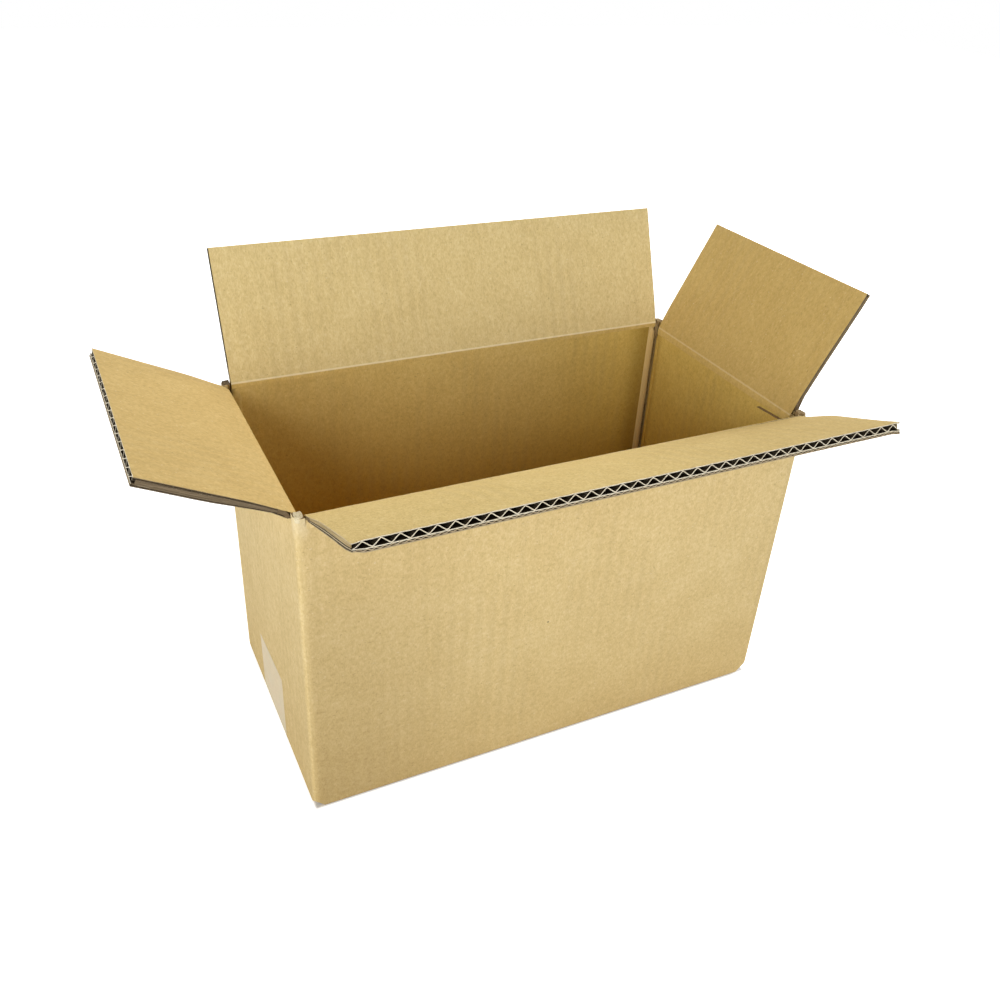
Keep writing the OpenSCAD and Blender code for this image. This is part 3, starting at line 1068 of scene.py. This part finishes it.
# %% [markdown]
# ## Upright corners
#
# The walls' upright creases are folded inwards, and the crushed paper beside each one stands
# proud as a soft ridge. The ridges are drawn as slightly wandering oval tubes, half sunk in the
# walls. At the top of each corner the slots end in a stump of torn, crumpled paper, which is a
# small block pushed about by noise.

# %% Draw the ridges
RIDGE_SIDES = 14
RIDGE_STEPS = 90


def ridge(centre, radii, low, high, seed):
    """Points and faces of one upright oval tube that wanders a little."""
    rng = np.random.default_rng(seed)
    heights = np.linspace(low, high, RIDGE_STEPS)
    drift = np.interp(heights, np.linspace(low, high, 12), rng.normal(0, 0.12 * MM, 12))
    taper = np.sqrt(np.clip(np.minimum(heights - low, high - heights) / (5 * MM), 0.02, 1.0))
    turns = np.arange(RIDGE_SIDES) * FULL_TURN / RIDGE_SIDES
    points = [
        (centre[0] + (radii[0] + d) * t * math.cos(a),
         centre[1] + (radii[1] + d * 0.5) * t * math.sin(a), h)
        for h, d, t in zip(heights, drift, taper)
        for a in turns
    ]
    faces = [
        (i * RIDGE_SIDES + j, i * RIDGE_SIDES + (j + 1) % RIDGE_SIDES,
         (i + 1) * RIDGE_SIDES + (j + 1) % RIDGE_SIDES, (i + 1) * RIDGE_SIDES + j)
        for i in range(RIDGE_STEPS - 1)
        for j in range(RIDGE_SIDES)
    ]
    faces.append(tuple(range(RIDGE_SIDES - 1, -1, -1)))
    faces.append(tuple((RIDGE_STEPS - 1) * RIDGE_SIDES + j for j in range(RIDGE_SIDES)))
    return points, faces


# Each ridge's middle, its two radii and its top, in millimetres. All start on the base, and the
# front right corner has none, because the glued tab lies flat over it.
RIDGES = (((142.3, 72.6), (2.7, 1.1), 190.8), ((145.7, 68.8), (0.9, 1.6), 187.0))
RIDGE_FOOT = 9.7 * MM
points, faces = [], []
for sx, sy in ((-1, -1), (-1, 1), (1, 1)):
    for centre, radii, high in RIDGES:
        more, sides = ridge(
            (sx * centre[0] * MM, sy * centre[1] * MM), (radii[0] * MM, radii[1] * MM),
            RIDGE_FOOT, high * MM, len(points),
        )
        faces += [tuple(len(points) + k for k in side) for side in sides]
        points += more
mesh = plain_mesh("corner_ridges", points, faces, kraft_walls)
close_outwards(mesh)
ridges = add("corner_ridges", mesh)
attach(ridges, "box")
print("ridges:", len(mesh.polygons), "faces")

# %% Make the torn stump's tree
STUMP = {
    "Size X": 4.3 * MM, "Size Y": 6.2 * MM, "Size Z": 3.0 * MM, "Rough": 1.0 * MM, "Seed": 1.0,
}
stump_tree, loom, size = new_tree(
    "torn_stump", STUMP, [("Centre", "NodeSocketVector"), ("Torn", "NodeSocketMaterial")]
)
block = loom.node(
    "GeometryNodeMeshCube",
    None,
    {"Size": loom.vector(size["Size X"], size["Size Y"], size["Size Z"]),
     "Vertices X": 15, "Vertices Y": 21, "Vertices Z": 8},
)
x, y, z = loom.split(loom.node("GeometryNodeInputPosition"))
shifted = loom.vector(x, y + size["Seed"] * 0.05, z)
lumps = loom.noise(shifted, 420.0, 3.0, 0.65) - 0.5
creases = loom.noise(loom.stretch(shifted, (0.4, 1.0, 1.6)), 900.0, 2.0, 0.6) - 0.5
top = loom.ramp(z, size["Size Z"] * -0.1, size["Size Z"] * 0.5)
# Its corners are rounded, it narrows upwards, and its top is pushed into peaks and hollows.
u, v = x * 2 / size["Size X"], y * 2 / size["Size Y"]
narrow = 1 - top * 0.08 - u * u * v * v * 0.2
crumpled = loom.moved(
    block,
    x * narrow + creases * size["Rough"] * 0.3,
    y * narrow + lumps * size["Rough"] * 0.3,
    z + (lumps * 2.0 + creases) * size["Rough"] * top,
)
crumpled = loom.store(crumpled, "paper", shifted, "FLOAT_VECTOR", "POINT")
crumpled = loom.node(
    "GeometryNodeTransform", None, {"Geometry": crumpled, "Translation": size["Centre"]}
)
crumpled = loom.node("GeometryNodeRealizeInstances", None, {"Geometry": crumpled})
crumpled = loom.painted(crumpled, size["Torn"])
loom.node("NodeGroupOutput", None, {"Geometry": crumpled}, out=None)

# %% Crumple the four corner tops
# Each corner's side in x and y, its middle's height and its own height in millimetres, its paper.
STUMP_X, STUMP_Y = 147.45, 73.6
CORNERS = {
    "front_left": (-1, -1, 194.1, 3.0, torn_paper),
    "front_right": (1, -1, 194.4, 2.6, torn_brown),
    "back_left": (-1, 1, 194.4, 1.4, crushed_paper),
    "back_right": (1, 1, 194.5, 1.4, torn_brown),
}
for seed, (where, (sx, sy, middle_z, tall, torn)) in enumerate(CORNERS.items()):
    stump = grow(
        "corner_top_" + where, stump_tree,
        {**STUMP, "Seed": 1.0 + seed, "Torn": torn, "Size Z": tall * MM, "Rough": tall / 3 * MM,
         "Centre": Vector((sx * STUMP_X, sy * STUMP_Y, middle_z)) * MM},
    )
    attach(stump, "box")
    print(stump.name, len(stump.data.polygons), "faces")

# %% [markdown]
# ## Floor and light
#
# The photograph has a plain white ground and soft light from all around. The floor is a pale
# surface with a share of its own glow for the camera, so it reads as white and still holds
# the carton's shadow. Six large, soft lamps stand around the carton. Their levels were found
# together from the tones of its faces, and a colour renders about as it is written.

# %% Lay the floor
FLOOR_HALF = 3.0


def seen_by(loom, first, *others):
    """One for these kinds of ray, and nought for all others."""
    path = loom.node("ShaderNodeLightPath", out=None)
    seen = Thread(loom, path.outputs[first])
    for name in others:
        seen = loom.most(seen, Thread(loom, path.outputs[name]))
    return seen


white_floor, loom = start_finish("white_floor")
seen = seen_by(loom, "Is Camera Ray", "Is Glossy Ray")
matt = loom.node("ShaderNodeBsdfDiffuse", None, {"Color": (0.80, 0.80, 0.80, 1)})
# The lamps fade with distance, so far from the carton the floor glows by itself.
x, y, _ = loom.split(loom.node("ShaderNodeTexCoord", out="Object"))
distance = loom.power(x * x + y * y, 0.5)
far_glow = loom.ramp(distance, 0.45, 1.3) * 0.4 + 0.72
# Under the carton it doesn't glow, so the small gaps in the base's corners stay dark.
covered = loom.ramp(loom.size_of(x), 0.150, 0.148) * loom.ramp(loom.size_of(y), 0.077, 0.075)
far_glow = far_glow * (1 - covered)
glow = loom.node("ShaderNodeEmission", None, {"Color": (1, 1, 1, 1), "Strength": seen * far_glow})
end_finish(loom, loom.node("ShaderNodeAddShader", None, {0: matt, 1: glow}))
edges = [(a * FLOOR_HALF, b * FLOOR_HALF, 0) for a, b in ((-1, -1), (1, -1), (1, 1), (-1, 1))]
floor = add("floor", plain_mesh("floor", edges, [(0, 1, 2, 3)], white_floor))

# %% Set the light
scene = bpy.context.scene
scene.view_settings.view_transform = "Standard"
world = bpy.data.worlds.new("studio")
scene.world = world
world.use_nodes = True
world.node_tree.nodes.clear()
loom = Loom(world.node_tree)
seen = seen_by(loom, "Is Camera Ray", "Is Glossy Ray", "Is Transmission Ray")
AMBIENT = 0.08
brightness = seen * (1 - AMBIENT) + AMBIENT
sky = loom.node("ShaderNodeBackground", None, {"Color": (1, 1, 1, 1), "Strength": brightness})
loom.node("ShaderNodeOutputWorld", None, {"Surface": sky}, out=None)


AIM = Vector((0, 0, 0.1))


def soft_lamp(name, place, size, watts):
    data = bpy.data.lights.new(name, "AREA")
    data.shape = "DISK"
    data.size = size
    data.energy = watts
    lamp = add(name, data)
    lamp.location = place
    lamp.rotation_euler = (AIM - Vector(place)).to_track_quat("-Z", "Y").to_euler()


# Each lamp's place in metres, its width, and its power.
LAMPS = {
    "right": ((1.7, 0.3, 1.4), 1.2, 37),
    "front_left": ((-1.5, -1.5, 1.0), 1.2, 21),
    "low_left": ((-1.9, -0.1, 0.35), 0.6, 10),
    "low_front": ((-0.2, -1.9, 0.35), 0.6, 8),
    "front": ((0, -2.2, 1.0), 1.2, 6),
    "behind": ((0, 1.6, 1.6), 1.2, 14),
}
for name, (place, size, watts) in LAMPS.items():
    soft_lamp(name, place, size, watts)
